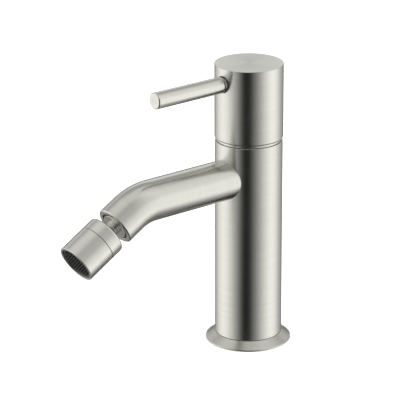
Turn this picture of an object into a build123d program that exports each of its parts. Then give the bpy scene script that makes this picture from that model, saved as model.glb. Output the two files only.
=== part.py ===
# Single-lever bidet mixer with a swivelling aerator head.
# Millimetres. +Z is up, the spout points along -Y, and the origin is the centre
# of the foot, on the plane that the mixer stands on.
from build123d import *
import os
from math import cos, sin, tan, radians, degrees, sqrt, pi, atan2

os.makedirs("parts", exist_ok=True)

# ---------------------------------------------------------------- dimensions
# column
COL_R = 20.0            # column, 40 mm diameter
COL_TOP = 125.1         # top face of the column
FOOT_R = 17.5           # spigot inside the rosette
SHOULDER_Z = 4.4        # the column's shoulder rests on the rosette
COL_Z0 = 4.75           # the visible cylinder starts above a shadow gap
NECK_R = 16.5           # neck inside the handle cap
NECK_TOP = 150.0
POCKET_R = 12.6         # pocket for a 25 mm ceramic cartridge
POCKET_Z = 116.0        # pocket floor
NUT_THREAD_R = 14.5     # thread of the cartridge nut
NUT_THREAD_Z = 142.0

# interfaces in the foot
INLET_X = 8.0           # two M10x1 inlets, 16 mm apart
INLET_Y = 4.5
INLET_R = 4.459         # minor diameter of M10x1
INLET_DEPTH = 12.0
WATERWAY_R = 3.0
STUD_Y = -9.5           # M8 hole for the fixing stud
STUD_R = 3.324          # minor diameter of M8
STUD_DEPTH = 14.0

# rosette
FLANGE_R = 25.4
FLANGE_RIM = 0.7

# handle
CAP_R = 20.26
CAP_Z0 = 127.3
CAP_TOP = 171.7
CAP_IN_R = 17.85
CAP_ROOF = 3.0
RING_R = 19.3           # glide ring, seen between column and cap
RING_Z0 = 125.3
RING_Z1 = 126.6
LEVER_Z = 162.2
LEVER_R = 4.91
LEVER_END = 70.5        # distance of the lever's end from the column's axis
LEVER_NECK_R = 4.03
LEVER_ROOT = 20.4       # where the lever's metal starts
BUSH_R = 5.05           # black bush in the cap's wall
HANDLE_RANGE = 100.0    # degrees from closed to full hot

# spout
SPOUT_Z = 103.75
SPOUT_R = 12.0
SPOUT_IN_R = 10.4
SPOUT_VERTEX = 82.7     # where the two straight axes would meet
SPOUT_BEND = 30.0       # degrees down
SPOUT_BEND_R = 33.0     # centreline radius of the bend
SPOUT_END = 20.0        # end face, measured from the vertex along the end axis
MOUTH_R = 11.2          # counterbore for the ball joint
SEAT_T = 5.0            # its floor

# ball joint, measured along the spout's end axis
BALL_R = 8.5
BALL_T = 17.5
BALL_FACE = 20.3        # the ball is cut flat here, just outside the mouth
WAIST_R = 4.0           # slim part of its neck
BALL_NECK_R = 4.65      # the neck inside the head
BALL_BORE_R = 2.7
LIP_R = 9.1             # opening of the retaining ring
TILT = 20.0             # degrees each way

# swivel head
HEAD_R = 12.0
HEAD_TOP = 25.75
HEAD_ROUND = 1.5        # rounded shoulder round the neck
HEAD_SPLIT = 34.1
HEAD_END = 52.0
HEAD_IN_R = 10.5
MESH_PITCH = 0.9

# cartridge
CART_R = 12.5
PORT_IN = (6.4, 3.8)    # inlet ports under the cartridge, mirrored in x
PORT_IN_R = 2.5
PORT_OUT_R = 2.6
DISC_PORT_R = 1.8
DISC_PORT_PCR = 6.6
COLD_ANGLE = 61.0       # port angles in the fixed disc
HOT_ANGLE = 101.0
SLOT_FROM = -14.0       # the moving disc's chamber at rest: both ports covered
SLOT_TO = 44.0

# ------------------------------------------------------------------- helpers
LEVER_PLANE = Plane(origin=(0, 0, LEVER_Z), x_dir=(1, 0, 0), z_dir=(0, -1, 0))
ROOT_PLANE = Plane(origin=(0, 0, SPOUT_Z), x_dir=(1, 0, 0), z_dir=(0, -1, 0))
A = radians(SPOUT_BEND)
END_PLANE = Plane(origin=(0, -SPOUT_VERTEX, SPOUT_Z), x_dir=(1, 0, 0),
                  z_dir=(0, -cos(A), -sin(A)))


def lathe(points):
    """Solid of revolution about Z. Points are (r, z), or (r, z, f) to round
    that corner of the outline with radius f."""
    n = len(points)
    corners = []
    for i, p in enumerate(points):
        x, z = p[0], p[1]
        f = p[2] if len(p) > 2 else 0.0
        if not f:
            corners.append(((x, z), None, (x, z)))
            continue
        ax, az = points[i - 1][0] - x, points[i - 1][1] - z
        bx, bz = points[(i + 1) % n][0] - x, points[(i + 1) % n][1] - z
        la, lb = sqrt(ax * ax + az * az), sqrt(bx * bx + bz * bz)
        ax, az, bx, bz = ax / la, az / la, bx / lb, bz / lb
        half = 0.5 * (pi - abs(atan2(ax * bz - az * bx, ax * bx + az * bz)))
        cut = f * tan(half)
        mx, mz = ax + bx, az + bz
        lm = sqrt(mx * mx + mz * mz)
        mx, mz = mx / lm, mz / lm
        dist = f / cos(half) - f
        corners.append(((x + ax * cut, z + az * cut),
                        (x + mx * dist, z + mz * dist),
                        (x + bx * cut, z + bz * cut)))
    edges = []
    for i, (start, mid, end) in enumerate(corners):
        if mid is not None:
            edges.append(ThreePointArc((start[0], 0, start[1]),
                                       (mid[0], 0, mid[1]),
                                       (end[0], 0, end[1])))
        nxt = corners[(i + 1) % n][0]
        if abs(nxt[0] - end[0]) + abs(nxt[1] - end[1]) > 1e-7:
            edges.append(Line((end[0], 0, end[1]), (nxt[0], 0, nxt[1])))
    return revolve(make_face(edges), Axis.Z, 360)


def ring(r_in, r_out, z0, z1):
    return lathe([(r_in, z0), (r_out, z0), (r_out, z1), (r_in, z1)])


def rod(r, z0, z1, x=0.0, y=0.0):
    return Pos(x, y, (z0 + z1) / 2) * Cylinder(r, z1 - z0)


def slanted(r, p0, p1, extra):
    """Round channel from p0 to p1, run on by extra at both ends."""
    a, b = Vector(*p0), Vector(*p1)
    d = (b - a).normalized()
    start = a - d * extra
    return Solid.make_cylinder(r, (b - a).length + 2 * extra,
                               Plane(origin=start, z_dir=d))


def sector(r0, r1, z0, z1, a0, a1, steps=24):
    """Ring sector from angle a0 to a1 (degrees)."""
    outer = [(r1 * cos(radians(a0 + (a1 - a0) * i / steps)),
              r1 * sin(radians(a0 + (a1 - a0) * i / steps))) for i in range(steps + 1)]
    inner = [(r0 * cos(radians(a1 - (a1 - a0) * i / steps)),
              r0 * sin(radians(a1 - (a1 - a0) * i / steps))) for i in range(steps + 1)]
    if r0 <= 0:
        inner = [(0.0, 0.0)]
    face = make_face(Polyline(*(outer + inner), close=True))
    return Pos(0, 0, z0) * extrude(face, z1 - z0)


nodes = {}

# --------------------------------------------------------------- fixed pieces
# Column: foot spigot, shoulder, visible cylinder, neck for the cartridge.
body = lathe([(0, 0), (FOOT_R, 0, 0.4), (FOOT_R, SHOULDER_Z), (19.4, SHOULDER_Z),
              (19.4, COL_Z0), (COL_R, COL_Z0, 0.1), (COL_R, COL_TOP, 0.2), (NECK_R, COL_TOP), (NECK_R, NECK_TOP, 0.4),
              (NUT_THREAD_R, NECK_TOP), (NUT_THREAD_R, NUT_THREAD_Z),
              (POCKET_R, NUT_THREAD_Z), (POCKET_R, POCKET_Z), (0, POCKET_Z)])
for side in (-1, 1):
    body -= rod(INLET_R, -1, INLET_DEPTH, side * INLET_X, INLET_Y)
    body -= rod(WATERWAY_R, INLET_DEPTH - 1, 112.5, side * INLET_X, INLET_Y)
    body -= rod(PORT_IN_R, 107.0, POCKET_Z + 1, side * PORT_IN[0], PORT_IN[1])
    body -= rod(1.3, POCKET_Z - 2.2, POCKET_Z + 1, side * 7.5, -7.5)
body -= rod(STUD_R, -1, STUD_DEPTH, 0, STUD_Y)
body -= rod(PORT_OUT_R, SPOUT_Z, POCKET_Z + 1)
body -= ROOT_PLANE * rod(8.45, 6.3, COL_R + 2)
body -= ROOT_PLANE * rod(3.6, -3.2, 6.5)
nodes["mixer_body"] = body

# Rosette with a thin rim and one conical top; the gasket sits flush in its groove.
flange = lathe([(FOOT_R + 0.05, 0), (19.5, 0), (19.5, 1.5), (23.5, 1.5), (23.5, 0),
                (FLANGE_R, 0), (FLANGE_R, FLANGE_RIM, 0.15), (COL_R, SHOULDER_Z - 0.03),
                (FOOT_R + 0.05, SHOULDER_Z - 0.03)])
nodes["base_flange"] = flange
nodes["base_gasket"] = ring(19.6, 23.4, 0, 1.45)

# Glide ring: its flange fills the gap between two shadow grooves, its sleeve
# centres the cap.
nodes["glide_ring"] = lathe([(NECK_R + 0.05, COL_TOP + 0.03), (18.2, COL_TOP + 0.03),
                             (18.2, RING_Z0), (RING_R, RING_Z0), (RING_R, RING_Z1),
                             (17.72, RING_Z1), (17.72, 136.0, 0.3),
                             (NECK_R + 0.05, 136.0)])

# Spout tube: straight root, bend, straight end; cut to the column's surface.
TAN = SPOUT_BEND_R * tan(A / 2)


def bent(r, s0, t1):
    """Solid bar along the spout's axis, from s0 on the root to t1 on the end."""
    s1 = SPOUT_VERTEX - TAN
    straight = ROOT_PLANE * rod(r, s0, s1)
    disc = Plane(origin=(0, -s1, SPOUT_Z), x_dir=(1, 0, 0), z_dir=(0, -1, 0)) * Circle(r)
    hinge = Axis((0, -s1, SPOUT_Z - SPOUT_BEND_R), (1, 0, 0))
    bend = revolve(disc, hinge, SPOUT_BEND)
    end = END_PLANE * rod(r, TAN, t1)
    return straight + bend + end


tube = bent(SPOUT_R, 14.0, SPOUT_END - 0.5)
tube += END_PLANE * lathe([(0, SPOUT_END - 0.5), (SPOUT_R, SPOUT_END - 0.5),
                           (SPOUT_R - 0.5, SPOUT_END), (0, SPOUT_END)])
tube -= bent(SPOUT_IN_R, 12.0, 12.0)
tube -= END_PLANE * rod(MOUTH_R, SEAT_T, SPOUT_END + 1)
tube -= rod(COL_R + 0.03, SPOUT_Z - 20, SPOUT_Z + 20)
SCREW_S = 28.0
tube -= Pos(0, -SCREW_S, SPOUT_Z - 11.0) * Cylinder(2.03, 4.0)
nodes["spout_tube"] = tube

# Union: threaded into the column, two O-ring grooves, hexagon for the key.
union = lathe([(6.2, 6.5), (8.4, 6.5, 0.4), (8.4, 20.15), (10.35, 20.15), (10.35, 23.6),
               (8.75, 23.6), (8.75, 25.4), (10.35, 25.4), (10.35, 30.6), (8.75, 30.6),
               (8.75, 32.4), (10.35, 32.4), (10.35, 35.1, 0.4), (6.2, 35.1)])
hex_key = Pos(0, 0, 27.0) * extrude(RegularPolygon(7.1, 6), 9.0)
union -= hex_key
union = ROOT_PLANE * union
union -= Pos(0, -SCREW_S, SPOUT_Z - 10.2) * Cylinder(2.05, 2.6)
nodes["spout_union"] = union
nodes["spout_orings"] = Compound(children=[
    ROOT_PLANE * (Pos(0, 0, s) * Torus(9.57, 0.8)) for s in (24.5, 31.5)])
screw = rod(1.98, SPOUT_Z - 11.85, SPOUT_Z - 8.95, 0, -SCREW_S)
screw -= Pos(0, -SCREW_S, SPOUT_Z - 12.0) * extrude(RegularPolygon(1.15, 6), 1.5)
nodes["spout_set_screw"] = screw

# Ball joint seats inside the spout's mouth.
ball_void = Pos(0, 0, BALL_T) * Sphere(BALL_R + 0.1)
rear = ring(5.6, MOUTH_R - 0.05, 5.05, 12.8) - ball_void
POLAR = radians(48)
OR_D = BALL_R + 0.95
oring_pos = Pos(0, 0, BALL_T - OR_D * cos(POLAR))
rear -= oring_pos * Torus(OR_D * sin(POLAR), 0.9)
nodes["ball_rear_seat"] = END_PLANE * rear
nodes["ball_oring"] = END_PLANE * (oring_pos * Torus(OR_D * sin(POLAR), 0.8))
nodes["ball_retaining_ring"] = END_PLANE * lathe([
    (10.45, 13.5), (MOUTH_R - 0.04, 13.5), (MOUTH_R - 0.04, SPOUT_END, 0.12),
    (LIP_R, SPOUT_END, 0.25), (LIP_R, 18.6), (10.45, 18.6)])

# Cartridge: base with moulded channels, seals, shell, fixed disc, nut, stop ring.
COLD = (DISC_PORT_PCR * cos(radians(COLD_ANGLE)), DISC_PORT_PCR * sin(radians(COLD_ANGLE)))
HOT = (DISC_PORT_PCR * cos(radians(HOT_ANGLE)), DISC_PORT_PCR * sin(radians(HOT_ANGLE)))
BASE_Z0, BASE_Z1 = POCKET_Z + 0.5, 121.1
cbase = rod(CART_R, BASE_Z0, BASE_Z1)
cbase -= rod(PORT_OUT_R, BASE_Z0 - 1, BASE_Z1 + 1)
for sx, top in ((1, COLD), (-1, HOT)):
    cbase -= rod(PORT_IN_R, BASE_Z0 - 1, BASE_Z0 + 1.6, sx * PORT_IN[0], PORT_IN[1])
    cbase -= slanted(DISC_PORT_R, (sx * PORT_IN[0], PORT_IN[1], BASE_Z0 + 1.0),
                     (top[0], top[1], BASE_Z1), 1.2)
    cbase -= Pos(sx * PORT_IN[0], PORT_IN[1], 0) * ring(0.5, PORT_IN_R + 0.95,
                                                       BASE_Z0 - 1, BASE_Z0 + 1.5)
    cbase += rod(1.2, POCKET_Z - 1.9, BASE_Z0 + 0.5, sx * 7.5, -7.5)
cbase -= ring(0.5, PORT_OUT_R + 0.95, BASE_Z0 - 1, BASE_Z0 + 1.5)
nodes["cartridge_base"] = cbase
seals = [Pos(x, y, 0) * ring(r, r + 0.9, POCKET_Z, POCKET_Z + 1.95)
         for x, y, r in ((PORT_IN[0], PORT_IN[1], PORT_IN_R),
                         (-PORT_IN[0], PORT_IN[1], PORT_IN_R), (0, 0, PORT_OUT_R))]
nodes["cartridge_seals"] = Compound(children=seals)
fixed = rod(10.7, 121.15, 124.6) - rod(PORT_OUT_R, 120, 126)
for p in (COLD, HOT):
    fixed -= rod(DISC_PORT_R, 120, 126, p[0], p[1])
nodes["fixed_disc"] = fixed
nodes["cartridge_housing"] = lathe([
    (10.8, 121.2), (CART_R, 121.2), (CART_R, 143.0, 0.4), (8.0, 143.0), (8.0, 151.8, 0.3),
    (5.0, 151.8), (5.0, 133.1), (10.8, 133.1)])
nut = lathe([(8.1, 143.1), (14.45, 143.1), (14.45, NECK_TOP, 0.3), (8.1, NECK_TOP, 0.3)])
for k in range(4):
    nut -= Rot(0, 0, 45 + 90 * k) * Pos(13.0, 0, NECK_TOP) * Box(5.0, 3.0, 4.0)
nodes["cartridge_nut"] = nut
# The stop ring's raised arc leaves 160 degrees free for a 58 degree lug, which
# lets the handle turn 100 degrees with one degree to spare at each end.
LUG = 58.0
LUG_AT_REST = -140.0
stop = ring(8.05, 11.2, NECK_TOP + 0.05, 151.2)
stop += sector(9.0, 11.2, 151.1, 153.4, LUG_AT_REST + HANDLE_RANGE + LUG / 2 + 1,
               LUG_AT_REST - LUG / 2 - 1 + 360, 48)
nodes["stop_ring"] = stop

# -------------------------------------------------------------- handle pieces
cap = lathe([(CAP_IN_R, CAP_Z0, 0.3), (CAP_R, CAP_Z0, 0.35), (CAP_R, CAP_TOP, 0.3),
             (0, CAP_TOP), (0, CAP_TOP - CAP_ROOF), (CAP_IN_R, CAP_TOP - CAP_ROOF)])
cap -= LEVER_PLANE * rod(4.15, 10, 24)
cap -= LEVER_PLANE * rod(BUSH_R + 0.05, 18.6, 24)
nodes["handle_cap"] = cap

nodes["lever_rod"] = LEVER_PLANE * lathe([
    (0, 31.0), (3.03, 31.0), (3.03, 18.05), (LEVER_NECK_R, 18.05),
    (LEVER_NECK_R, LEVER_ROOT), (4.5, LEVER_ROOT), (4.5, 21.15), (4.1, 21.15), (4.1, 21.5),
    (4.62, 21.5), (LEVER_R, 22.6), (LEVER_R, LEVER_END - 0.5),
    (LEVER_R - 0.5, LEVER_END), (0, LEVER_END)])
nodes["lever_bush"] = LEVER_PLANE * lathe([
    (4.08, 18.65), (BUSH_R, 18.65), (BUSH_R, 19.85, 0.2), (4.6, 20.0),
    (4.6, LEVER_ROOT - 0.05, 0.1), (4.08, LEVER_ROOT - 0.05)])
nodes["lever_stud"] = LEVER_PLANE * lathe([
    (0, 4.3), (2.5, 4.3), (2.98, 4.8), (2.98, 30.2), (2.6, 30.6), (0, 30.6)])

hub = rod(8.5, 153.6, 168.6) + rod(11.1, 153.6, 156.0)
hub += rod(CAP_IN_R - 0.05, 165.6, 168.6)
hub += (Pos(0, -9.0, 162.65) * Box(12, 18, 11.9)) & rod(CAP_IN_R - 0.05, 150, 170)
hub += sector(9.1, 11.1, 151.4, 153.8, LUG_AT_REST - LUG / 2, LUG_AT_REST + LUG / 2, 20)
hub -= Pos(0, 0, 158.0) * Box(6.5, 6.5, 14.0)
hub -= LEVER_PLANE * rod(3.02, 3.0, 19.0)
nodes["handle_adapter"] = hub

stem = Pos(0, 0, 130.75) * Box(14.0, 6.0, 2.5)
stem += rod(4.9, 131.9, 146.9) - ring(3.85, 6.0, 137.4, 138.6)
stem += Pos(0, 0, 155.65) * Box(6.4, 6.4, 17.7)
nodes["cartridge_stem"] = stem
nodes["stem_oring"] = Pos(0, 0, 138.0) * Torus(4.42, 0.53)
carrier = rod(10.6, 128.2, 131.85) - Pos(0, 0, 131.45) * Box(14.1, 6.1, 4.0)
for sx in (-1, 1):
    carrier += rod(1.0, 126.9, 128.4, sx * 8.6, 0)
nodes["disc_carrier"] = carrier
nodes["thrust_washer"] = ring(5.1, 10.6, 132.1, 132.9)
moving = rod(10.5, 124.65, 128.1)
moving -= rod(3.0, 124.0, 126.4) + sector(0, 8.5, 124.0, 126.4, SLOT_FROM, SLOT_TO, 16)
for sx in (-1, 1):
    moving -= rod(1.1, 126.7, 129.0, sx * 8.6, 0)
nodes["moving_disc"] = moving

# ----------------------------------------------------------------- ball joint
seat = lathe([(6.9, 13.0), (10.35, 13.0), (10.35, 18.5), (LIP_R - 0.15, 18.5),
              (LIP_R - 0.15, 19.4), (6.9, 19.4)])
nodes["ball_seat"] = END_PLANE * (seat - Pos(0, 0, BALL_T) * Sphere(BALL_R + 0.05))
ball = Pos(0, 0, BALL_T) * Sphere(BALL_R) - rod(BALL_R + 1, BALL_FACE, BALL_T + BALL_R + 1)
ball += lathe([(0, BALL_T), (WAIST_R, BALL_T), (WAIST_R, 23.0, 2.0), (BALL_NECK_R, 25.2),
               (BALL_NECK_R, 27.35), (3.65, 27.35), (3.65, 28.65), (BALL_NECK_R, 28.65),
               (BALL_NECK_R, 29.6), (3.9, 29.6), (3.9, 30.7), (BALL_NECK_R, 30.7),
               (BALL_NECK_R, 33.4, 0.4), (0, 33.4)])
ball -= rod(BALL_BORE_R, BALL_T - 12, 35)
ball -= lathe([(0, BALL_T - 10), (5.2, BALL_T - 10), (BALL_BORE_R - 0.2, BALL_T - 5.0),
               (0, BALL_T - 5.0)])
nodes["ball_stem"] = END_PLANE * ball
nodes["neck_oring"] = END_PLANE * (Pos(0, 0, 28.0) * Torus(4.19, 0.5))
clip = ring(3.95, 6.2, 29.65, 30.65) - Pos(5.0, 0, 30.15) * Box(4.0, 5.0, 2.0)
nodes["head_clip"] = END_PLANE * clip

# ---------------------------------------------------------------- swivel head
nodes["swivel_collar"] = END_PLANE * lathe([
    (4.75, HEAD_TOP, 0.2), (HEAD_R, HEAD_TOP, HEAD_ROUND), (HEAD_R, HEAD_SPLIT, 0.15),
    (10.9, HEAD_SPLIT), (10.9, 38.4), (9.8, 38.4), (9.8, 29.5), (4.75, 29.5)])
nodes["aerator_housing"] = END_PLANE * lathe([
    (10.95, HEAD_SPLIT + 0.15), (HEAD_R, HEAD_SPLIT + 0.15, 0.15), (HEAD_R, HEAD_END, 0.35),
    (HEAD_IN_R, HEAD_END, 0.2), (HEAD_IN_R, 41.0), (10.95, 41.0)])
nodes["aerator_washer"] = END_PLANE * ring(7.6, 10.85, 38.5, 39.9)
regulator = ring(2.0, 6.8, 38.3, 39.9)
for k in range(6):
    regulator -= Rot(0, 0, 60 * k) * rod(0.8, 37, 41, 4.5, 0)
nodes["flow_regulator"] = END_PLANE * regulator
insert = lathe([(0, 40.0), (10.85, 40.0), (10.85, 40.95), (10.4, 40.95), (10.4, 50.7),
                (9.3, 50.7), (9.3, 42.0), (0, 42.0)])
for k in range(10):
    insert -= Rot(0, 0, 36 * k) * rod(0.7, 39, 43, 6.5, 0)
nodes["aerator_insert"] = END_PLANE * insert

# Mesh disc: square openings on a fine grid inside a plain rim.
mesh_face = Circle(10.35)
half = int(9.7 / MESH_PITCH) + 1
centres = [(i * MESH_PITCH, j * MESH_PITCH) for i in range(-half, half + 1)
           for j in range(-half, half + 1)
           if sqrt((i * MESH_PITCH) ** 2 + (j * MESH_PITCH) ** 2) < 9.35]
mesh_face -= [Pos(x, y) * Rectangle(0.55, 0.55) for x, y in centres]
nodes["aerator_mesh"] = END_PLANE * (Pos(0, 0, 50.8) * extrude(mesh_face, 0.4))

# --------------------------------------------------------------------- export
for name, shape in nodes.items():
    export_step(shape, "parts/" + name + ".step")
print(len(nodes), "nodes written")
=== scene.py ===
import math

import bpy
import numpy as np
from mathutils import Matrix, Vector


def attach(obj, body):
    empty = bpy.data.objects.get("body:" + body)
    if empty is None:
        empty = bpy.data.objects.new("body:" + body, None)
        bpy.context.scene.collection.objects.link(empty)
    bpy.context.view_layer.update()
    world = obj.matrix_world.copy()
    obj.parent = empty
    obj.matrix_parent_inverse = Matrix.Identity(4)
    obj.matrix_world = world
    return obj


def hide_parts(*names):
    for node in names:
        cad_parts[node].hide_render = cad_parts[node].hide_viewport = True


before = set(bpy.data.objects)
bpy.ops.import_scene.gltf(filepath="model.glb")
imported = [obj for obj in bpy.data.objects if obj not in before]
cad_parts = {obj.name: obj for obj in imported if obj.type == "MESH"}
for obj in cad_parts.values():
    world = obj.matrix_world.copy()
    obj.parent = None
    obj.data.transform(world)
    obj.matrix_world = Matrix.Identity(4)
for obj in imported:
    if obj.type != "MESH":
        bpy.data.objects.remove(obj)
bpy.context.view_layer.update()
scene = bpy.context.scene
MM = 0.001
TAU = 2 * math.pi

# ------------------------------------------------------------------ dimensions
COL_R, COL_TOP, FOOT_R, SHOULDER_Z, COL_Z0 = 20.0, 125.1, 17.5, 4.4, 4.75
RING_R, RING_Z0, RING_Z1 = 19.3, 125.3, 126.6
NECK_R, NECK_TOP, POCKET_R, POCKET_Z = 16.5, 150.0, 12.6, 116.0
INLET_X, INLET_Y, INLET_R = 8.0, 4.5, 4.459
STUD_Y, STUD_R = -9.5, 3.324
FLANGE_R, FLANGE_RIM = 25.4, 0.7
CAP_R, CAP_Z0, CAP_TOP, CAP_IN_R, CAP_ROOF = 20.26, 127.3, 171.7, 17.85, 3.0
LEVER_Z, LEVER_R, LEVER_END, LEVER_NECK_R, LEVER_ROOT, BUSH_R = 162.2, 4.91, 70.5, 4.03, 20.4, 5.05
SPOUT_Z, SPOUT_R, SPOUT_IN_R, SPOUT_VERTEX = 103.75, 12.0, 10.4, 82.7
BEND, BEND_R, SPOUT_END, MOUTH_R, SEAT_T = math.radians(30.0), 33.0, 20.0, 11.2, 5.0
SCREW_S = 28.0
BALL_R, BALL_T, BALL_NECK_R, BALL_BORE_R, LIP_R = 8.5, 17.5, 4.65, 2.7, 9.1
HEAD_R, HEAD_TOP, HEAD_ROUND, HEAD_SPLIT, HEAD_END, HEAD_IN_R = 12.0, 25.75, 1.5, 34.1, 52.0, 10.5
BALL_FACE, WAIST_R = 20.3, 4.0


def plane(origin, x_dir, z_dir):
    """Matrix from local axes, in millimetres, to the frame, in metres."""
    z = Vector(z_dir).normalized()
    x = Vector(x_dir).normalized()
    y = z.cross(x)
    m = Matrix((x, y, z)).transposed().to_4x4()
    m.translation = Vector(origin) * MM
    return m


UPRIGHT = plane((0, 0, 0), (1, 0, 0), (0, 0, 1))
LEVER_AXIS = plane((0, 0, LEVER_Z), (1, 0, 0), (0, -1, 0))
ROOT_AXIS = plane((0, 0, SPOUT_Z), (1, 0, 0), (0, -1, 0))
END_AXIS = plane((0, -SPOUT_VERTEX, SPOUT_Z), (1, 0, 0),
                 (0, -math.cos(BEND), -math.sin(BEND)))

# ---------------------------------------------------------------------- camera
PHI, DIP, ROLL = math.radians(50.62), math.radians(19.627), math.radians(-0.203)
turn = Matrix.Rotation(PHI, 3, "Z")
right, up = Vector((1, 0, 0)), Vector((0, math.sin(DIP), math.cos(DIP)))
ahead = Vector((0, math.cos(DIP), -math.sin(DIP)))
right2 = turn @ (right * math.cos(ROLL) + up * math.sin(ROLL))
up2 = turn @ (up * math.cos(ROLL) - right * math.sin(ROLL))
pose = Matrix((right2, up2, -(turn @ ahead))).transposed().to_4x4()
pose.translation = turn @ (Vector((-28.812, -1304.25, 552.094)) * MM)
cam_data = bpy.data.cameras.new("camera")
cam_data.lens = 210.03
cam_data.sensor_width = 36.0
cam_data.sensor_fit = "HORIZONTAL"
cam_data.clip_start = 0.02
cam_data.clip_end = 100.0
camera = bpy.data.objects.new("camera", cam_data)
camera.matrix_world = pose
scene.collection.objects.link(camera)
scene.camera = camera
TOWARD = Vector((pose.translation.x, pose.translation.y, 0)).normalized()
SIDE = Vector((0, 0, 1)).cross(TOWARD)          # to the right of someone at the camera


# ------------------------------------------------------------- node shorthands
class Tree:
    def __init__(self, tree):
        self.nt = tree
        tree.nodes.clear()

    def add(self, kind, **settings):
        n = self.nt.nodes.new("ShaderNode" + kind)
        for k, v in settings.items():
            setattr(n, k, v)
        return n

    def link(self, a, b):
        self.nt.links.new(a, b)

    def put(self, socket, value):
        if isinstance(value, bpy.types.NodeSocket):
            self.link(value, socket)
        else:
            socket.default_value = value

    def math(self, op, a, b=None, c=None, clamp=False):
        n = self.add("Math", operation=op, use_clamp=clamp)
        for i, v in enumerate((a, b, c)):
            if v is not None:
                self.put(n.inputs[i], v)
        return n.outputs[0]

    def dot(self, a, b):
        n = self.add("VectorMath", operation="DOT_PRODUCT")
        self.put(n.inputs[0], a)
        self.put(n.inputs[1], b)
        return n.outputs["Value"]

    def combine(self, x, y, z):
        n = self.add("CombineXYZ")
        for i, v in enumerate((x, y, z)):
            self.put(n.inputs[i], v)
        return n.outputs[0]

    def noise(self, vector, scale, detail=2.0, rough=0.5):
        n = self.add("TexNoise")
        self.put(n.inputs["Vector"], vector)
        n.inputs["Scale"].default_value = scale
        n.inputs["Detail"].default_value = detail
        n.inputs["Roughness"].default_value = rough
        return n.outputs["Fac"]

    def span(self, value, a0, a1, b0, b1, smooth=False):
        n = self.add("MapRange", clamp=True)
        n.interpolation_type = "SMOOTHSTEP" if smooth else "LINEAR"
        self.put(n.inputs[0], value)
        for i, v in enumerate((a0, a1, b0, b1)):
            self.put(n.inputs[i + 1], v)
        return n.outputs[0]

    def ramp(self, value, stops, interpolation="LINEAR"):
        n = self.add("ValToRGB")
        r = n.color_ramp
        r.interpolation = interpolation
        while len(r.elements) > 1:
            r.elements.remove(r.elements[-1])
        r.elements[0].position = stops[0][0]
        r.elements[0].color = (*colour(stops[0][1]), 1)
        for p, v in stops[1:]:
            e = r.elements.new(p)
            e.color = (*colour(v), 1)
        self.put(n.inputs[0], value)
        return n.outputs["Color"]

    def mix(self, fac, a, b, kind="MIX"):
        n = self.add("Mix", data_type="RGBA", blend_type=kind)
        self.put(n.inputs[0], fac)
        for s, v in ((6, a), (7, b)):
            if not isinstance(v, bpy.types.NodeSocket):
                v = (*colour(v), 1)
            self.put(n.inputs[s], v)
        return n.outputs[2]


def colour(v):
    return (v, v, v) if isinstance(v, (int, float)) else tuple(v)[:3]


def linear(level):
    """Linear light of an 8-bit screen level."""
    c = level / 255
    return c / 12.92 if c <= 0.04045 else ((c + 0.055) / 1.055) ** 2.4


# ----------------------------------------------------------------------- world
STEEL = (0.640, 0.638, 0.585)
GREY = sum(STEEL) / 3

# Brightness of the studio round the object. Degrees from the camera's side,
# then the screen level that the steel shows when it mirrors that direction.
LOW = [(-180, 98), (-160, 116), (-140, 166), (-127, 197), (-108, 224), (-95, 230),
       (-80, 222), (-68, 204), (-56, 180), (-45, 150), (-34, 116), (-24, 70), (-15, 30),
       (-5, 22), (5, 44), (14, 84), (24, 116), (34, 146), (45, 174), (56, 198), (68, 216),
       (80, 231), (92, 230), (108, 213), (124, 176), (140, 146), (160, 108), (180, 98)]
HIGH = [(-180, 210), (-164, 198), (-150, 172), (-125, 188), (-90, 198), (-50, 184),
        (-20, 164), (20, 154), (45, 166), (60, 188), (80, 212), (100, 200), (125, 182),
        (150, 170), (164, 196), (180, 210)]
DEEP = [(-180, 88), (-120, 100), (-80, 138), (-30, 50), (0, 34), (30, 70), (80, 168),
        (105, 135), (118, 88), (130, 60), (155, 58), (180, 88)]


def stops(table):
    return [((a + 180) / 360, linear(v) / GREY) for a, v in table]


world = bpy.data.worlds.new("studio")
scene.world = world
world.use_nodes = True
w = Tree(world.node_tree)
way = w.add("TexCoord").outputs["Generated"]
split = w.add("SeparateXYZ")
w.link(way, split.inputs[0])
toward = w.dot(way, tuple(TOWARD))
aside = w.dot(way, tuple(SIDE))
az = w.math("DIVIDE", w.math("ARCTAN2", aside, toward), math.pi)
place = w.math("MULTIPLY_ADD", az, 0.5, 0.5)
height = w.math("ARCSINE", split.outputs[2])
height = w.math("MULTIPLY", height, 180 / math.pi)
low = w.ramp(place, stops(LOW))
high = w.ramp(place, stops(HIGH))
deep = w.ramp(place, stops(DEEP))
top = linear(190) / GREY
light = w.mix(w.span(height, -52, -26, 0, 1, True), deep, low)
lean = w.math("MULTIPLY_ADD", toward, -6.0, height)
light = w.mix(w.span(lean, 6, 30, 0, 1, True), light, high)
back = w.math("MULTIPLY", w.span(toward, -0.25, -0.7, 0, 1, True),
              w.span(height, 27, 38, 0, 1, True))
light = w.mix(back, light, linear(142) / GREY)
light = w.mix(w.span(height, 60, 82, 0, 1, True), light, top)
seen = w.add("Background")
w.put(seen.inputs["Color"], light)
plain = w.add("Background")
plain.inputs["Color"].default_value = (1.0, 1.0, 1.0, 1)
path = w.add("LightPath")
both = w.add("MixShader")
w.link(path.outputs["Is Camera Ray"], both.inputs[0])
w.link(seen.outputs[0], both.inputs[1])
w.link(plain.outputs[0], both.inputs[2])
out = w.add("OutputWorld")
w.link(both.outputs[0], out.inputs["Surface"])

scene.view_settings.view_transform = "Standard"
scene.view_settings.look = "None"
scene.view_settings.exposure = 0.0
scene.view_settings.gamma = 1.0


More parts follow.
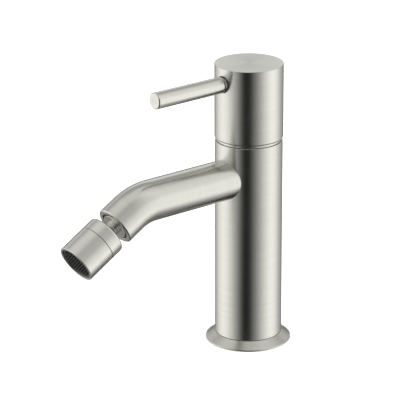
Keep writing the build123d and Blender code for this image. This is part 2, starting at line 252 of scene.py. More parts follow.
# ---------------------------------------------------------------------- lights
def softbox(name, place, aim, width, height, watts):
    data = bpy.data.lights.new(name, "AREA")
    data.shape = "RECTANGLE"
    data.size, data.size_y = width, height
    data.energy = watts
    o = bpy.data.objects.new(name, data)
    o.location = place
    o.rotation_euler = (Vector(aim) - Vector(place)).to_track_quat("-Z", "Y").to_euler()
    o.visible_glossy = False
    o.visible_camera = False
    scene.collection.objects.link(o)
    return o


softbox("overhead_softbox", (0.0, 0.0, 2.2), (0, 0, 0), 3.2, 3.2, 75.0)
side_place = TOWARD * 1.5 + SIDE * 1.6
softbox("side_softbox", (side_place.x, side_place.y, 1.3), (0, 0, 0.08), 1.2, 1.2, 8.0)


# ------------------------------------------------------------------- materials
def material(name):
    m = bpy.data.materials.new(name)
    m.use_nodes = True
    t = Tree(m.node_tree)
    p = t.add("BsdfPrincipled")
    o = t.add("OutputMaterial")
    t.link(p.outputs[0], o.inputs["Surface"])
    return m, t, p


def round_coords(t, around, along):
    """Coordinates for marks that run round a turned piece: the UV map's U goes once
    round the axis and V is the length along the outline in decimetres."""
    uv = t.add("UVMap", uv_map="UVMap")
    s = t.add("SeparateXYZ")
    t.link(uv.outputs[0], s.inputs[0])
    a = t.math("MULTIPLY", s.outputs[0], TAU)
    x = t.math("MULTIPLY", t.math("COSINE", a), around)
    y = t.math("MULTIPLY", t.math("SINE", a), around)
    z = t.math("MULTIPLY", s.outputs[1], along)
    return t.combine(x, y, z)


def facing_away(t):
    """1 on the turned sides of a piece, 0.3 on discs square to its own axis."""
    n = t.add("VectorTransform", vector_type="NORMAL", convert_from="WORLD", convert_to="OBJECT")
    t.link(t.add("NewGeometry").outputs["True Normal"], n.inputs[0])
    s = t.add("SeparateXYZ")
    t.link(n.outputs[0], s.inputs[0])
    return t.span(t.math("ABSOLUTE", s.outputs[2]), 0.90, 0.99, 1.0, 0.3)


def turned_steel(name, radius, base=STEEL, rough=0.30, aniso=0.72, lines=1.0, tone=1.0):
    """Satin steel with fine lines round the axis. Radius is the piece's, in mm."""
    m, t, p = material(name)
    p.inputs["Metallic"].default_value = 1.0
    p.inputs["Anisotropic"].default_value = aniso
    p.inputs["Anisotropic Rotation"].default_value = 0.25
    tangent = t.add("Tangent", direction_type="UV_MAP", uv_map="UVMap")
    t.link(tangent.outputs[0], p.inputs["Tangent"])
    fine = t.noise(round_coords(t, radius * 0.10, 320.0), 1.0, 3.0, 0.62)
    streak = t.noise(round_coords(t, radius * 0.030, 74.0), 1.0, 2.0, 0.55)
    cloud = t.noise(round_coords(t, radius * 0.06, 3.2), 1.0, 2.0, 0.5)
    marks = t.math("MULTIPLY_ADD", streak, 0.55, t.math("MULTIPLY", fine, 0.45))
    marks = t.math("MULTIPLY_ADD", t.math("SUBTRACT", marks, 0.5), facing_away(t), 0.5)
    edge = t.add("Attribute", attribute_name="edge").outputs["Fac"]
    shade = t.span(marks, 0.30, 0.70, 1.0 - 0.045 * lines, 1.0 + 0.045 * lines)
    shade = t.math("MULTIPLY", shade, t.span(cloud, 0.3, 0.7, 0.985, 1.015))
    # tone scales the whole base colour; on the ball it is painted shade
    shade = t.math("MULTIPLY", shade, tone)
    n = t.add("VectorMath", operation="SCALE")
    n.inputs[0].default_value = base
    t.link(shade, n.inputs["Scale"])
    # Fillets get a brighter base colour: a painted highlight along the edges; the lower roughness on them
    # further down is real polish
    t.link(t.mix(t.math("MULTIPLY", edge, 0.35), n.outputs[0], tuple(min(1.0, c * 1.14) for c in base)),
           p.inputs["Base Color"])
    r = t.span(marks, 0.25, 0.75, rough + 0.035, rough - 0.03)
    r = t.math("ADD", r, t.span(cloud, 0.3, 0.7, -0.015, 0.015))
    r = t.math("SUBTRACT", r, t.math("MULTIPLY", edge, 0.07))
    t.link(r, p.inputs["Roughness"])
    bump = t.add("Bump")
    bump.inputs["Strength"].default_value = 0.75 * lines
    bump.inputs["Distance"].default_value = 0.000012
    t.link(marks, bump.inputs["Height"])
    t.link(bump.outputs[0], p.inputs["Normal"])
    return m


def object_coords(t, axis="Z"):
    """Object coordinates, for the inner pieces; the axis argument is not used."""
    c = t.add("TexCoord").outputs["Object"]
    return c


def machined(name, base, rough=0.28, metallic=1.0):
    """Lathe-turned inner metal piece: rings along the height, slight stain."""
    m, t, p = material(name)
    p.inputs["Metallic"].default_value = metallic
    c = object_coords(t)
    s = t.add("SeparateXYZ")
    t.link(c, s.inputs[0])
    rings = t.noise(t.combine(t.math("MULTIPLY", s.outputs[0], 60.0),
                              t.math("MULTIPLY", s.outputs[1], 60.0),
                              t.math("MULTIPLY", s.outputs[2], 5200.0)), 1.0, 2.0, 0.5)
    stain = t.noise(c, 130.0, 4.0, 0.6)
    dark = tuple(v * 0.86 for v in base)
    t.link(t.mix(t.span(stain, 0.35, 0.65, 0, 1), dark, base), p.inputs["Base Color"])
    t.link(t.span(rings, 0.3, 0.7, rough - 0.05, rough + 0.07), p.inputs["Roughness"])
    bump = t.add("Bump")
    bump.inputs["Strength"].default_value = 0.5
    bump.inputs["Distance"].default_value = 0.00001
    t.link(rings, bump.inputs["Height"])
    t.link(bump.outputs[0], p.inputs["Normal"])
    return m


def moulded(name, base, rough=0.42, grain=2600.0, depth=0.000012, sheen=0.0, specular=0.5):
    """Moulded plastic or rubber: fine grain, slight flow marks."""
    m, t, p = material(name)
    p.inputs["Specular IOR Level"].default_value = specular
    if sheen:
        p.inputs["Sheen Weight"].default_value = sheen
        p.inputs["Sheen Roughness"].default_value = 0.6
    c = object_coords(t)
    fine = t.noise(c, grain, 3.0, 0.6)
    flow = t.noise(c, 160.0, 3.0, 0.55)
    dark = tuple(v * 0.88 for v in base)
    pale = tuple(min(1.0, v * 1.05 + 0.004) for v in base)
    t.link(t.mix(t.span(flow, 0.3, 0.7, 0, 1), dark, pale), p.inputs["Base Color"])
    t.link(t.span(fine, 0.3, 0.7, rough - 0.06, rough + 0.08), p.inputs["Roughness"])
    bump = t.add("Bump")
    bump.inputs["Strength"].default_value = 0.6
    bump.inputs["Distance"].default_value = depth
    t.link(fine, bump.inputs["Height"])
    t.link(bump.outputs[0], p.inputs["Normal"])
    return m


# ---------------------------------------------------------------------- meshes
def expand(points, steps=6):
    """Outline corners (r, z[, fillet]) to stations (r, z, normal before, normal
    after, 1 on a fillet). Normals point out of the solid."""
    pts = [tuple(p) + (0.0,) * (3 - len(p)) for p in points]
    area = sum(a[0] * b[1] - b[0] * a[1] for a, b in zip(pts, pts[1:] + pts[:1]))
    if area < 0:
        pts.reverse()
    n = len(pts)
    out = []
    for i, (x, z, f) in enumerate(pts):
        px, pz = pts[i - 1][0], pts[i - 1][1]
        qx, qz = pts[(i + 1) % n][0], pts[(i + 1) % n][1]
        d0 = np.array([x - px, z - pz], float); d0 /= np.linalg.norm(d0)
        d1 = np.array([qx - x, qz - z], float); d1 /= np.linalg.norm(d1)
        n0, n1 = np.array([d0[1], -d0[0]]), np.array([d1[1], -d1[0]])
        if f <= 0:
            out.append((x, z, n0, n1, 0.0))
            continue
        cross = d0[0] * d1[1] - d0[1] * d1[0]
        turned = math.atan2(cross, float(d0 @ d1))
        cut = f * math.tan(abs(turned) / 2)
        start = np.array([x, z]) - d0 * cut
        side = 1.0 if turned > 0 else -1.0
        centre = start - n0 * f * side
        for k in range(steps + 1):
            a = turned * k / steps
            c, s = math.cos(a), math.sin(a)
            nk = np.array([n0[0] * c - n0[1] * s, n0[0] * s + n0[1] * c])
            q = centre + nk * f * side
            out.append((float(q[0]), float(q[1]), nk if k else n0, nk if k < steps else n1, 1.0))
    return out


def arc(centre_z, radius, a0, a1, steps):
    """Points of a sphere's outline about (0, centre_z); angles from the pole, degrees."""
    return [(radius * math.sin(math.radians(a0 + (a1 - a0) * k / steps)),
             centre_z + radius * math.cos(math.radians(a0 + (a1 - a0) * k / steps)))
            for k in range(steps + 1)]


def skin(name, P, Nb, Na, edge, close=True, turns=1.0):
    """Mesh from rings of points. P is (m, n, 3) in mm, Nb and Na the normals before
    and after each ring, edge a weight for each ring."""
    m, n = P.shape[0], P.shape[1]
    index = np.zeros((m, n), int)
    verts = []
    for k in range(m):
        ring = P[k]
        if np.ptp(ring, axis=0).max() < 1e-7:
            index[k] = len(verts)
            verts.append(ring[0])
        else:
            index[k] = np.arange(len(verts), len(verts) + n)
            verts.extend(ring)
    length = np.zeros(m + 1)
    for k in range(m):
        length[k + 1] = length[k] + float(np.linalg.norm(P[(k + 1) % m] - P[k], axis=1).mean())
    faces, uvs, normals, weights = [], [], [], []
    for k in range(m if close else m - 1):
        q = (k + 1) % m
        pole_a, pole_b = index[k, 0] == index[k, 1], index[q, 0] == index[q, 1]
        if pole_a and pole_b:
            continue
        va, vb = length[k] * 0.01, length[k + 1] * 0.01
        for j in range(n):
            i = (j + 1) % n
            u0, u1 = turns * j / n, turns * (j + 1) / n
            corners = [(index[k, j], u0, va, Na[k, j], edge[k]),
                       (index[k, i], u1, va, Na[k, i], edge[k]),
                       (index[q, i], u1, vb, Nb[q, i], edge[q]),
                       (index[q, j], u0, vb, Nb[q, j], edge[q])]
            if pole_a:
                corners.pop(1)
            elif pole_b:
                corners.pop(3)
            faces.append([int(c[0]) for c in corners])
            uvs.extend((c[1], c[2]) for c in corners)
            normals.extend(c[3] for c in corners)
            weights.extend(c[4] for c in corners)
    me = bpy.data.meshes.new(name)
    me.from_pydata([tuple(v * MM) for v in np.array(verts)], [], faces)
    layer = me.uv_layers.new(name="UVMap")
    layer.uv.foreach_set("vector", np.array(uvs, np.float32).ravel())
    a = me.attributes.new("edge", "FLOAT", "CORNER")
    a.data.foreach_set("value", np.array(weights, np.float32))
    a = me.attributes.new("nrm", "FLOAT_VECTOR", "CORNER")
    a.data.foreach_set("vector", np.array(normals, np.float32).ravel())
    return me


def lathe_mesh(name, points, seg=192, steps=6, flip=False, smooth=()):
    """Turned shape. Smooth lists spheres as (centre z, radius, negative for a hollow); stations on one
    take the sphere's normal, for curves that are given as points."""
    st = expand(points, steps) if not isinstance(points[0][-1], np.ndarray) else points
    if smooth:
        st = [list(s) for s in st]
        for s in st:
            for centre_z, radius in smooth:
                d = np.array([s[0], s[1] - centre_z])
                size = float(np.linalg.norm(d))
                if abs(size - abs(radius)) < 1e-4:
                    nn = d / size * (1 if radius > 0 else -1)
                    if float(nn @ s[2]) > 0.9:
                        s[2] = nn
                    if float(nn @ s[3]) > 0.9:
                        s[3] = nn
    th = np.arange(seg) * TAU / seg
    c, s_ = np.cos(th), np.sin(th)
    P = np.array([np.stack([x[0] * c, x[0] * s_, np.full(seg, x[1])], 1) for x in st])
    Nb = np.array([np.stack([x[2][0] * c, x[2][0] * s_, np.full(seg, x[2][1])], 1) for x in st])
    Na = np.array([np.stack([x[3][0] * c, x[3][0] * s_, np.full(seg, x[3][1])], 1) for x in st])
    if flip:
        Nb, Na = -Nb, -Na
    return skin(name, P, Nb, Na, [x[4] for x in st])


def holder(name, me, place=UPRIGHT):
    o = bpy.data.objects.new(name, me)
    o.matrix_world = place
    scene.collection.objects.link(o)
    return o


def carve(o, cutters):
    """Cuts each mesh object out of o and takes the cutters away."""
    for c in cutters:
        mod = o.modifiers.new("cut", "BOOLEAN")
        mod.operation = "DIFFERENCE"
        mod.solver = "EXACT"
        mod.object = c
    bpy.context.view_layer.update()
    dg = bpy.context.evaluated_depsgraph_get()
    me = bpy.data.meshes.new_from_object(o.evaluated_get(dg), preserve_all_data_layers=True,
                                         depsgraph=dg)
    o.modifiers.clear()
    me.name = o.data.name
    o.data = me
    for c in cutters:
        bpy.data.objects.remove(c)


def settle(o):
    """Sets the shading normals from the stored ones and drops those."""
    me = o.data
    a = me.attributes.get("nrm")
    n = np.zeros(len(me.loops) * 3, np.float32)
    a.data.foreach_get("vector", n)
    n = n.reshape(-1, 3)
    size = np.linalg.norm(n, axis=1)
    total = np.zeros(len(me.polygons), np.int32)
    me.polygons.foreach_get("loop_total", total)
    flat = np.zeros(len(me.polygons) * 3, np.float32)
    me.polygons.foreach_get("normal", flat)
    flat = np.repeat(flat.reshape(-1, 3), total, axis=0)
    n = np.where(size[:, None] > 0.5, n / np.maximum(size, 1e-9)[:, None], flat)
    wrong = (n * flat).sum(1) < 0.3
    n[wrong] = flat[wrong]
    me.attributes.remove(a)
    me.polygons.foreach_set("use_smooth", np.ones(len(me.polygons), bool))
    me.normals_split_custom_set(n.tolist())
    me.update()


def finish_piece(o, mat, body, nodes):
    if o.data.attributes.get("nrm"):
        settle(o)
    o.data.materials.clear()
    o.data.materials.append(mat)
    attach(o, body)
    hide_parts(*nodes)
    return o


def turned(node, points, place, body, mat, slot_name, seg=192, steps=6, smooth=(), cutters=(),
           name=None):
    o = holder(name or node + "_v", lathe_mesh(node, points, seg, steps, smooth=smooth), place)
    if cutters:
        carve(o, cutters)
    return finish_piece(o, mat, body, (node,))


def rod_cutter(radius, z0, z1, place=UPRIGHT, x=0.0, y=0.0, seg=96):
    me = lathe_mesh("cutter", [(0, z0), (radius, z0), (radius, z1), (0, z1)], seg, flip=True)
    return holder("cutter", me, place @ Matrix.Translation(Vector((x, y, 0)) * MM))


def thread_cutter(minor, major, pitch, z0, z1, x, y, seg=48, per_pitch=10):
    """Plug with a helical ridge on its wall; cut out, it leaves an internal thread."""
    count = int((z1 - z0) / pitch * per_pitch) + 1
    zs = np.linspace(z0, z1, count)
    th = np.arange(seg) * TAU / seg
    rows, before = [], []
    for z in zs:
        phase = (z / pitch - th / TAU) % 1.0
        ridge = np.clip((0.5 - np.abs(phase - 0.5)) * 2.6 - 0.45, 0, 0.875)
        fade = min(1.0, max(0.0, (z - z0 - 0.9) / 0.9)) * min(1.0, max(0.0, (z1 - z - 0.2) / 0.8))
        r = minor + (major - minor) * ridge / 0.875 * fade
        rows.append(np.stack([r * np.cos(th), r * np.sin(th), np.full(seg, z)], 1))
    P = np.array([np.zeros((seg, 3)) + (0, 0, z0)] + rows + [np.zeros((seg, 3)) + (0, 0, z1)])
    d_th = np.roll(P, -1, axis=1) - np.roll(P, 1, axis=1)
    d_z = np.zeros_like(P)
    d_z[1:-1] = P[2:] - P[:-2]
    d_z[1], d_z[-2] = P[2] - P[1], P[-2] - P[-3]
    N = np.cross(d_th, d_z)
    size = np.linalg.norm(N, axis=2, keepdims=True)
    N = -N / np.maximum(size, 1e-12)
    Nb, Na = N.copy(), N.copy()
    Nb[0] = Na[0] = Nb[1] = (0, 0, 1)
    Nb[-1] = Na[-1] = Na[-2] = (0, 0, -1)
    me = skin("cutter", P, Nb, Na, [0.0] * len(P))
    return holder("cutter", me, UPRIGHT @ Matrix.Translation(Vector((x, y, 0)) * MM))


# -------------------------------------------------------------- material table
steel_column = turned_steel("steel_column", COL_R)
steel_cap = turned_steel("steel_cap", CAP_R)
steel_flange = turned_steel("steel_flange", 23.0, rough=0.33, tone=0.88)
steel_spout = turned_steel("steel_spout", SPOUT_R, rough=0.20, aniso=0.55, lines=0.5)
steel_lever = turned_steel("steel_lever", LEVER_R, rough=0.27)
steel_head = turned_steel("steel_head", HEAD_R, rough=0.28)
steel_ring = turned_steel("steel_ring", 19.0, rough=0.30)
screw_steel = turned_steel("screw_steel", 2.0, base=(0.66, 0.66, 0.64), rough=0.24, aniso=0.4)
# tone 0.96 darkens the ball's base colour: painted shade for the ball sitting in the shade of the spout's
# mouth
ball_steel = turned_steel("ball_steel", BALL_R, rough=0.22, aniso=0.2, lines=0.4, tone=0.96)
brass = machined("brass", (0.70, 0.53, 0.27))
bright_steel = machined("bright_steel", (0.66, 0.66, 0.65), rough=0.24)
mesh_steel = machined("mesh_steel", (0.17, 0.17, 0.162), rough=0.38)
rubber = moulded("rubber", (0.018, 0.018, 0.018), rough=0.62, sheen=0.08)
black_plastic = moulded("black_plastic", (0.020, 0.020, 0.021), rough=0.34)
cartridge_grey = moulded("cartridge_grey", (0.42, 0.43, 0.45), rough=0.45)
stop_red = moulded("stop_red", (0.52, 0.05, 0.03), rough=0.42)
white_plastic = moulded("white_plastic", (0.74, 0.74, 0.71), rough=0.40)
ceramic = moulded("ceramic", (0.80, 0.78, 0.73), rough=0.18, grain=900.0, depth=0.000003)

# ---------------------------------------------------------------- fixed pieces
TAN = BEND_R * math.tan(BEND / 2)
S1 = SPOUT_VERTEX - TAN
socket_tool = plane((0, 0, SPOUT_Z), (1, 0, 0), (0, -1, 0))
cutters = [rod_cutter(POCKET_R, POCKET_Z, NECK_TOP + 2, seg=128),
           rod_cutter(14.5, 142.0, NECK_TOP + 2, seg=128),
           rod_cutter(8.45, 6.3, COL_R + 2, socket_tool),
           rod_cutter(3.6, -3.2, 6.9, socket_tool, seg=48),
           rod_cutter(2.6, SPOUT_Z, POCKET_Z + 1, seg=48)]
for side in (-1, 1):
    cutters += [thread_cutter(INLET_R, 5.0, 1.0, -1.0, 12.0, side * INLET_X, INLET_Y),
                rod_cutter(3.0, 11.0, 112.5, x=side * INLET_X, y=INLET_Y, seg=48),
                rod_cutter(2.5, 107.0, POCKET_Z + 1, x=side * 6.4, y=3.8, seg=48)]
cutters.append(thread_cutter(STUD_R, 4.0, 1.25, -1.0, 14.0, 0.0, STUD_Y))
turned("mixer_body", [(0, 0), (FOOT_R, 0, 0.4), (FOOT_R, SHOULDER_Z), (19.4, SHOULDER_Z),
                      (19.4, COL_Z0), (COL_R, COL_Z0, 0.1), (COL_R, COL_TOP, 0.2), (NECK_R, COL_TOP), (NECK_R, NECK_TOP, 0.4),
                      (0, NECK_TOP)],
       UPRIGHT, "mixer", steel_column, "satin_steel", seg=256, cutters=cutters)

turned("base_flange", [(FOOT_R + 0.05, 0), (19.5, 0), (19.5, 1.5), (23.5, 1.5), (23.5, 0, 0.1),
                       (FLANGE_R, 0, 0.1), (FLANGE_R, FLANGE_RIM, 0.15),
                       (COL_R, SHOULDER_Z - 0.03, 0.3), (FOOT_R + 0.05, SHOULDER_Z - 0.03)],
       UPRIGHT, "mixer", steel_flange, "satin_steel", seg=256)
turned("base_gasket", [(19.6, 0, 0.2), (23.4, 0, 0.2), (23.4, 1.45, 0.3), (19.6, 1.45, 0.3)],
       UPRIGHT, "mixer", rubber, "rubber")
turned("glide_ring", [(NECK_R + 0.05, COL_TOP + 0.03), (18.2, COL_TOP + 0.03), (18.2, RING_Z0),
                      (RING_R, RING_Z0, 0.1), (RING_R, RING_Z1, 0.1), (17.72, RING_Z1),
                      (17.72, 136.0, 0.3), (NECK_R + 0.05, 136.0, 0.2)],
       UPRIGHT, "mixer", steel_ring, "ring_steel", seg=256)


def spout_mesh(seg=192, bend_steps=36):
    th = np.arange(seg) * TAU / seg
    c, s = np.cos(th), np.sin(th)
    rings = []           # (positions, radial normals, kind)

    def straight(kind, at, r, frac=None):
        """Ring on the root's straight axis (kind root) or on the end axis (kind end)."""
        if kind == "root":
            o, d, e2 = np.array([0, 0, SPOUT_Z]), np.array([0, -1.0, 0]), np.array([0, 0, 1.0])
        else:
            o = np.array([0, -SPOUT_VERTEX, SPOUT_Z])
            d = np.array([0, -math.cos(BEND), -math.sin(BEND)])
            e2 = np.array([0, -math.sin(BEND), math.cos(BEND)])
        rad = c[:, None] * np.array([1.0, 0, 0]) + s[:, None] * e2
        return o + np.asarray(at).reshape(-1, 1) * d + rad * r, rad, d

    def curved(phi, r):
        o = np.array([0, -S1 - BEND_R * math.sin(phi),
                      SPOUT_Z - BEND_R + BEND_R * math.cos(phi)])
        e2 = np.array([0, -math.sin(phi), math.cos(phi)])
        d = np.array([0, -math.cos(phi), -math.sin(phi)])
        rad = c[:, None] * np.array([1.0, 0, 0]) + s[:, None] * e2
        return o + rad * r, rad, d

    def saddle(r):
        return np.sqrt((COL_R + 0.03) ** 2 - (r * c) ** 2)

    P, Nb, Na, edge = [], [], [], []

    def put(ring, before, after, e=0.0):
        P.append(ring[0]); Nb.append(np.zeros((seg, 3)) + before)
        Na.append(np.zeros((seg, 3)) + after); edge.append(e)

    ring = straight("root", saddle(SPOUT_R), SPOUT_R)
    inward = -np.stack([SPOUT_R * c, -saddle(SPOUT_R), np.zeros(seg)], 1) / (COL_R + 0.03)
    put(ring, inward, ring[1])
    for f in (0.12, 0.3, 0.5, 0.7, 0.85, 1.0):
        at = saddle(SPOUT_R) * (1 - f) + S1 * f
        ring = straight("root", at, SPOUT_R)
        put(ring, ring[1], ring[1])
    for k in range(1, bend_steps + 1):
        ring = curved(BEND * k / bend_steps, SPOUT_R)
        put(ring, ring[1], ring[1])
    # straight end with a small rounded chamfer
    ring = straight("end", [SPOUT_END - 0.5] * seg, SPOUT_R)
    d = ring[2]
    slope = ring[1] * math.sqrt(0.5) + d * math.sqrt(0.5)
    soft = ring[1] * math.cos(math.radians(22.5)) + d * math.sin(math.radians(22.5))
    lead = straight("end", [SPOUT_END - 0.62] * seg, SPOUT_R)
    put(lead, lead[1], lead[1], 0.0)
    mid = straight("end", [SPOUT_END - 0.49] * seg, SPOUT_R - 0.035)
    put(mid, soft, soft, 1.0)
    a = straight("end", [SPOUT_END - 0.38] * seg, SPOUT_R - 0.12)
    put(a, slope, slope, 1.0)
    b = straight("end", [SPOUT_END - 0.12] * seg, SPOUT_R - 0.38)
    put(b, slope, slope, 1.0)
    soft2 = ring[1] * math.sin(math.radians(22.5)) + d * math.cos(math.radians(22.5))
    g = straight("end", [SPOUT_END - 0.03] * seg, SPOUT_R - 0.49)
    put(g, soft2, soft2, 1.0)
    e = straight("end", [SPOUT_END] * seg, SPOUT_R - 0.62)
    put(e, d, d, 0.0)
    r1 = straight("end", [SPOUT_END] * seg, MOUTH_R + 0.1)
    put(r1, d, d, 0.0)
    lip = (d - r1[1]) * math.sqrt(0.5)
    r2 = straight("end", [SPOUT_END - 0.03] * seg, MOUTH_R + 0.03)
    put(r2, lip, lip, 1.0)
    r3 = straight("end", [SPOUT_END - 0.1] * seg, MOUTH_R)
    put(r3, -r3[1], -r3[1], 0.0)
    r4 = straight("end", [SEAT_T] * seg, MOUTH_R)
    put(r4, -r4[1], d)
    back = math.asin((TAN - SEAT_T) / BEND_R)
    r5 = curved(BEND - back, SPOUT_IN_R)
    put(r5, d, -r5[1])
    for k in range(int(bend_steps * (BEND - back) / BEND), -1, -3):
        ring = curved(BEND * k / bend_steps, SPOUT_IN_R)
        put(ring, -ring[1], -ring[1])
    ring = straight("root", saddle(SPOUT_IN_R), SPOUT_IN_R)
    inner = -np.stack([SPOUT_IN_R * c, -saddle(SPOUT_IN_R), np.zeros(seg)], 1) / (COL_R + 0.03)
    put(ring, -ring[1], inner)
    return skin("spout_tube", np.array(P), np.array(Nb), np.array(Na), edge)


spout = holder("spout_tube_v", spout_mesh())
carve(spout, [rod_cutter(2.03, SPOUT_Z - 13.0, SPOUT_Z - 9.0, y=-SCREW_S, seg=64)])
finish_piece(spout, steel_spout, "mixer", ("spout_tube",))


def hex_cutter(across, z0, z1, place):
    """Hexagonal prism, across its flats."""
    r = across / 2 / math.cos(math.pi / 6)
    th = np.arange(6) * TAU / 6
    ring = np.stack([r * np.cos(th), r * np.sin(th)], 1)
    v = [(x * MM, y * MM, z0 * MM) for x, y in ring] + [(x * MM, y * MM, z1 * MM) for x, y in ring]
    f = [tuple(range(5, -1, -1)), tuple(range(6, 12))]
    f += [(i, (i + 1) % 6, 6 + (i + 1) % 6, 6 + i) for i in range(6)]
    me = bpy.data.meshes.new("cutter")
    me.from_pydata(v, [], f)
    layer = me.uv_layers.new(name="UVMap")
    me.attributes.new("edge", "FLOAT", "CORNER")
    me.attributes.new("nrm", "FLOAT_VECTOR", "CORNER")
    return holder("cutter", me, place)


screw_axis = plane((0, -SCREW_S, SPOUT_Z), (1, 0, 0), (0, 0, -1))
turned("spout_set_screw", [(0, 8.95), (1.5, 8.95), (1.98, 9.45), (1.98, 11.85, 0.25),
                           (1.15, 11.85, 0.1), (0.95, 11.62), (0, 11.62)],
       screw_axis, "mixer", screw_steel, "bright_steel", seg=64,
       cutters=[hex_cutter(1.75, 10.35, 13.0, screw_axis)])

turned("ball_retaining_ring", [(10.45, 13.5), (MOUTH_R - 0.04, 13.5), (MOUTH_R - 0.04, SPOUT_END, 0.12),
                               (LIP_R, SPOUT_END, 0.25), (LIP_R, 18.6), (10.45, 18.6)],
       END_AXIS, "mixer", steel_head, "satin_steel")

# --------------------------------------------------------------- handle pieces
hole = rod_cutter(4.15, 10, 24, LEVER_AXIS, seg=96)
step = rod_cutter(BUSH_R + 0.05, 18.6, 24, LEVER_AXIS, seg=128)
turned("handle_cap", [(CAP_IN_R, CAP_Z0, 0.3), (CAP_R, CAP_Z0, 0.35), (CAP_R, CAP_TOP, 0.3),
                      (0, CAP_TOP), (0, CAP_TOP - CAP_ROOF), (CAP_IN_R, CAP_TOP - CAP_ROOF)],
       UPRIGHT, "handle", steel_cap, "satin_steel", seg=256, cutters=[hole, step])
turned("lever_rod", [(0, 31.0), (3.03, 31.0), (3.03, 18.05), (LEVER_NECK_R, 18.05),
                     (LEVER_NECK_R, LEVER_ROOT), (4.5, LEVER_ROOT, 0.08), (4.5, 21.15, 0.08),
                     (4.1, 21.15), (4.1, 21.5), (4.62, 21.5, 0.06), (LEVER_R, 22.6, 0.3),
                     (LEVER_R, LEVER_END - 0.5, 0.12), (LEVER_R - 0.5, LEVER_END, 0.12),
                     (0, LEVER_END)],
       LEVER_AXIS, "handle", steel_lever, "satin_steel", seg=128)
turned("lever_bush", [(4.08, 18.65), (BUSH_R, 18.65), (BUSH_R, 19.85, 0.2), (4.6, 20.0, 0.08),
                      (4.6, LEVER_ROOT - 0.05, 0.1), (4.08, LEVER_ROOT - 0.05, 0.05)],
       LEVER_AXIS, "handle", black_plastic, "black_plastic", seg=96)

# ------------------------------------------------------------------ ball joint
reach = math.degrees(math.acos((BALL_FACE - BALL_T) / BALL_R))
start_deg = 180 - math.degrees(math.asin(3.89 / BALL_R))
ball_outline = [(BALL_BORE_R, BALL_T - 5.37)]
ball_outline += arc(BALL_T, BALL_R, start_deg, reach, 48)
ball_outline += [(WAIST_R, BALL_FACE, 0.25), (WAIST_R, 23.0, 2.0), (BALL_NECK_R, 25.2),
                 (BALL_NECK_R, 27.35), (3.65, 27.35), (3.65, 28.65), (BALL_NECK_R, 28.65),
                 (BALL_NECK_R, 29.6), (3.9, 29.6), (3.9, 30.7), (BALL_NECK_R, 30.7),
                 (BALL_NECK_R, 33.4, 0.4), (BALL_BORE_R, 33.4, 0.2)]
turned("ball_stem", ball_outline, END_AXIS, "ball", ball_steel, "ball_steel", seg=192,
       smooth=[(BALL_T, BALL_R)])
seat_r = BALL_R + 0.05
SEAT_Z0, SEAT_Z1 = 13.0, 19.4
a_low = math.degrees(math.acos((SEAT_Z0 - BALL_T) / seat_r))
a_high = math.degrees(math.acos((SEAT_Z1 - BALL_T) / seat_r))
seat_outline = [(10.35, SEAT_Z0), (10.35, 18.5), (LIP_R - 0.15, 18.5),
                (LIP_R - 0.15, SEAT_Z1, 0.1)]
seat_outline += arc(BALL_T, seat_r, a_high, a_low, 24)
turned("ball_seat", seat_outline, END_AXIS, "seat", black_plastic, "black_plastic",
       smooth=[(BALL_T, -seat_r)])

# ----------------------------------------------------------------- swivel head
turned("swivel_collar", [(4.75, HEAD_TOP, 0.2), (HEAD_R, HEAD_TOP, HEAD_ROUND),
                         (HEAD_R, HEAD_SPLIT, 0.15), (10.9, HEAD_SPLIT), (10.9, 38.4),
                         (9.8, 38.4), (9.8, 29.5), (4.75, 29.5)],
       END_AXIS, "head", steel_head, "satin_steel", seg=224)
turned("aerator_housing", [(10.95, HEAD_SPLIT + 0.27), (HEAD_R, HEAD_SPLIT + 0.27, 0.15),
                           (HEAD_R, HEAD_END, 0.35), (HEAD_IN_R, HEAD_END, 0.2),
                           (HEAD_IN_R, 41.0), (10.95, 41.0)],
       END_AXIS, "head", steel_head, "satin_steel", seg=224)


# Woven wire: stout wires one way, and fine ones that pass over and under them.
def woven(pitch=1.5, wires=(0.46, 0.18), lift=0.1, reach=9.72, z=51.0, turn=39.0, steps=6,
          sides=8):
    c, s = math.cos(math.radians(turn)), math.sin(math.radians(turn))
    half = int(reach / pitch)
    verts, faces = [], []
    for fam, wire in enumerate(wires):
        for i in range(-half, half + 1):
            across = i * pitch
            if abs(across) > reach - 0.2:
                continue
            end = math.sqrt(reach ** 2 - across ** 2)
            n = max(4, int(2 * end / pitch * steps))
            u = np.linspace(-end, end, n)
            sign = 1.0 if (i + fam) % 2 == 0 else -1.0
            h = sign * lift * np.cos(math.pi * u / pitch)
            if fam == 0:
                P = np.stack([u, np.full(n, across), z + h], 1)
            else:
                P = np.stack([np.full(n, across), u, z + h], 1)
            P = np.stack([P[:, 0] * c - P[:, 1] * s, P[:, 0] * s + P[:, 1] * c, P[:, 2]], 1)
            d = np.gradient(P, axis=0)
            d /= np.linalg.norm(d, axis=1)[:, None]
            side = np.array([-s, c, 0]) if fam == 0 else np.array([c, s, 0])
            e1 = np.cross(d, side)
            e1 /= np.linalg.norm(e1, axis=1)[:, None]
            e2 = np.cross(d, e1)
            base = len(verts)
            for k in range(n):
                for q in range(sides):
                    a = TAU * q / sides
                    verts.append(P[k] + (e1[k] * math.cos(a) + e2[k] * math.sin(a)) * wire / 2)
            for k in range(n - 1):
                for q in range(sides):
                    r = (q + 1) % sides
                    faces.append((base + k * sides + q, base + k * sides + r,
                                  base + (k + 1) * sides + r, base + (k + 1) * sides + q))
            faces.append(tuple(base + q for q in range(sides - 1, -1, -1)))
            faces.append(tuple(base + (n - 1) * sides + q for q in range(sides)))
    return verts, faces


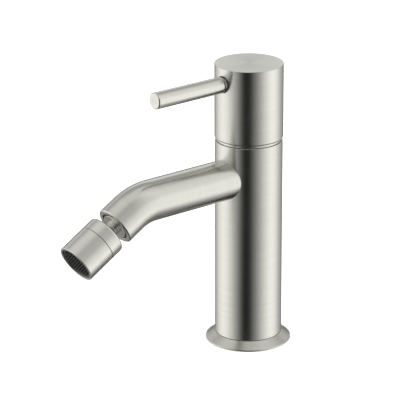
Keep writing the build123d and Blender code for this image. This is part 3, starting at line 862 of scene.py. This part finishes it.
wv, wf = woven()
rim = lathe_mesh("rim", [(9.5, 50.82, 0.05), (10.35, 50.82, 0.08), (10.35, 51.18, 0.08), (9.5, 51.18, 0.12)],
                 160, 4)
base = len(wv)
rim_v = [np.array(v.co) / MM for v in rim.vertices]
rim_f = [tuple(base + i for i in p.vertices) for p in rim.polygons]
me = bpy.data.meshes.new("aerator_mesh")
me.from_pydata([tuple(np.array(v) * MM) for v in wv] + [tuple(v * MM) for v in rim_v], [], wf + rim_f)
me.polygons.foreach_set("use_smooth", np.ones(len(me.polygons), bool))
finish_piece(holder("aerator_mesh_v", me, END_AXIS), mesh_steel, "head", ("aerator_mesh",))

# ------------------------------------------------ inner pieces keep their meshes
inner = {
    "spout_union": brass, "spout_orings": rubber, "ball_rear_seat": black_plastic,
    "ball_oring": rubber, "cartridge_base": cartridge_grey, "cartridge_seals": rubber,
    "cartridge_housing": cartridge_grey, "fixed_disc": ceramic, "cartridge_nut": brass,
    "stop_ring": stop_red, "lever_stud": bright_steel, "handle_adapter": brass,
    "cartridge_stem": brass, "stem_oring": rubber, "disc_carrier": cartridge_grey,
    "thrust_washer": white_plastic, "moving_disc": ceramic, "neck_oring": rubber,
    "head_clip": bright_steel, "aerator_washer": rubber, "flow_regulator": white_plastic,
    "aerator_insert": black_plastic,
}
for node, mat in inner.items():
    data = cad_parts[node].data
    data.materials.clear()
    data.materials.append(mat)

# ----------------------------------------------------------------------- floor
FLOOR_R = 14.0
th = np.arange(96) * TAU / 96
fme = bpy.data.meshes.new("floor")
fme.from_pydata([(FLOOR_R * math.cos(a), FLOOR_R * math.sin(a), -0.0002) for a in th], [],
                [tuple(range(96))])
floor = bpy.data.objects.new("floor", fme)
scene.collection.objects.link(floor)
m, t, p = material("pale_floor")
c = t.add("TexCoord").outputs["Object"]
spots = t.noise(c, 3.0, 3.0, 0.5)
t.link(t.mix(t.span(spots, 0.3, 0.7, 0, 1), (0.90, 0.90, 0.90), (0.91, 0.91, 0.91)), p.inputs["Base Color"])
p.inputs["Roughness"].default_value = 0.9
p.inputs["Specular IOR Level"].default_value = 0.1
fme.materials.append(m)
floor.visible_glossy = False

# ------------------------------------------------------------------------ ends
bpy.context.view_layer.update()
